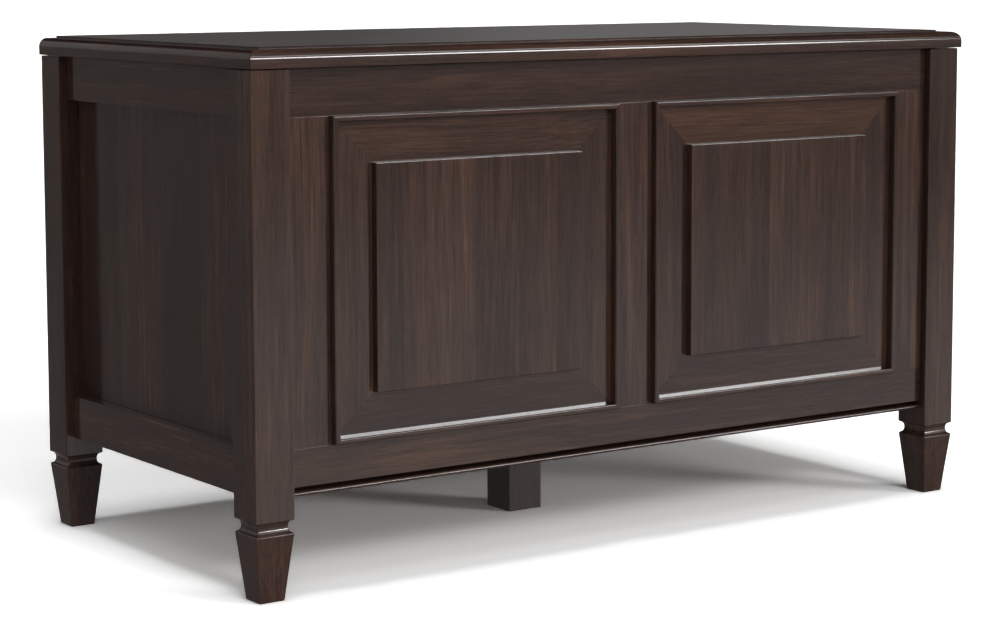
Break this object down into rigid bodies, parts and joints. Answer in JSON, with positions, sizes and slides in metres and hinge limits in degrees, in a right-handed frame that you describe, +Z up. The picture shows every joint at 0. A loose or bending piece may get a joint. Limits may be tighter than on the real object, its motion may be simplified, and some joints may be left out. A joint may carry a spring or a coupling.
{
  "type": "wooden chest",
  "caption": "Long low wooden storage chest with square tapered feet, fielded front panels, panelled sides and a moulded lift lid on back hinges with a folding stay.",
  "frame": {"origin": "on the floor, under the middle of the whole chest with its hinge barrels", "axes": "+X along the chest towards its right-hand end seen from the front, +Y from the front to the back, +Z up"},
  "size_m": [1.016, 0.509, 0.584],
  "materials": {
    "dark_stained_wood": "espresso brown stain under satin lacquer",
    "plain_wood": "thin brown stain, unlacquered",
    "hinge_steel": "dark bronze plated",
    "stay_steel": "zinc plated"
  },
  "bodies": {
    "case": {"back_bottom_rail": "dark_stained_wood", "back_panel": "dark_stained_wood", "back_top_rail": "dark_stained_wood", "bottom_cleat_front": "plain_wood", "bottom_cleat_rear": "plain_wood", "bottom_panel": "plain_wood", "centre_bearer": "plain_wood", "centre_leg": "dark_stained_wood", "front_bottom_bead": "dark_stained_wood", "front_bottom_rail": "dark_stained_wood", "front_mullion": "dark_stained_wood", "front_stile_left": "dark_stained_wood", "front_stile_right": "dark_stained_wood", "front_top_rail": "dark_stained_wood", "hinge_case_leaf_left": "hinge_steel", "hinge_case_leaf_right": "hinge_steel", "hinge_pin_left": "hinge_steel", "hinge_pin_right": "hinge_steel", "left_panel_backing": "dark_stained_wood", "left_panel_border_bottom": "dark_stained_wood", "left_panel_border_left": "dark_stained_wood", "left_panel_border_right": "dark_stained_wood", "left_panel_border_top": "dark_stained_wood", "left_panel_field": "dark_stained_wood", "left_panel_moulding_bottom": "dark_stained_wood", "left_panel_moulding_left": "dark_stained_wood", "left_panel_moulding_right": "dark_stained_wood", "left_panel_moulding_top": "dark_stained_wood", "left_side_bottom_rail": "dark_stained_wood", "left_side_panel": "dark_stained_wood", "left_side_top_rail": "dark_stained_wood", "post_front_left": "dark_stained_wood", "post_front_right": "dark_stained_wood", "post_rear_left": "dark_stained_wood", "post_rear_right": "dark_stained_wood", "right_panel_backing": "dark_stained_wood", "right_panel_border_bottom": "dark_stained_wood", "right_panel_border_left": "dark_stained_wood", "right_panel_border_right": "dark_stained_wood", "right_panel_border_top": "dark_stained_wood", "right_panel_field": "dark_stained_wood", "right_panel_moulding_bottom": "dark_stained_wood", "right_panel_moulding_left": "dark_stained_wood", "right_panel_moulding_right": "dark_stained_wood", "right_panel_moulding_top": "dark_stained_wood", "right_side_bottom_rail": "dark_stained_wood", "right_side_panel": "dark_stained_wood", "right_side_top_rail": "dark_stained_wood", "stay_case_bracket": "stay_steel"},
    "lid": {"hinge_lid_leaf_left": "hinge_steel", "hinge_lid_leaf_right": "hinge_steel", "lid_batten_left": "plain_wood", "lid_batten_right": "plain_wood", "lid_moulding_front": "dark_stained_wood", "lid_moulding_left": "dark_stained_wood", "lid_moulding_right": "dark_stained_wood", "lid_panel": "dark_stained_wood", "stay_lid_bracket": "stay_steel"},
    "stay_lower": {"stay_lower_arm": "stay_steel"},
    "stay_upper": {"stay_upper_arm": "stay_steel"}
  },
  "joints": [
    {"name": "lid_hinge", "type": "hinge", "parent": "case", "child": "lid", "pos_m": [0, 0.2513, 0.5617], "axis": [-1, 0, 0], "range_deg": [0, 95]},
    {"name": "stay_lower_hinge", "type": "hinge", "parent": "case", "child": "stay_lower", "pos_m": [0.468, 0.1832, 0.524], "axis": [-1, 0, 0], "range_deg": [0, 95]},
    {"name": "stay_elbow", "type": "hinge", "parent": "stay_lower", "child": "stay_upper", "pos_m": [0.466, 0.0232, 0.512], "axis": [1, 0, 0], "range_deg": [0, 95]}
  ],
  "couplings": [
    {"joint": "stay_lower_hinge", "follows": "lid_hinge", "ratio": 1},
    {"joint": "stay_elbow", "follows": "lid_hinge", "ratio": 1}
  ]
}
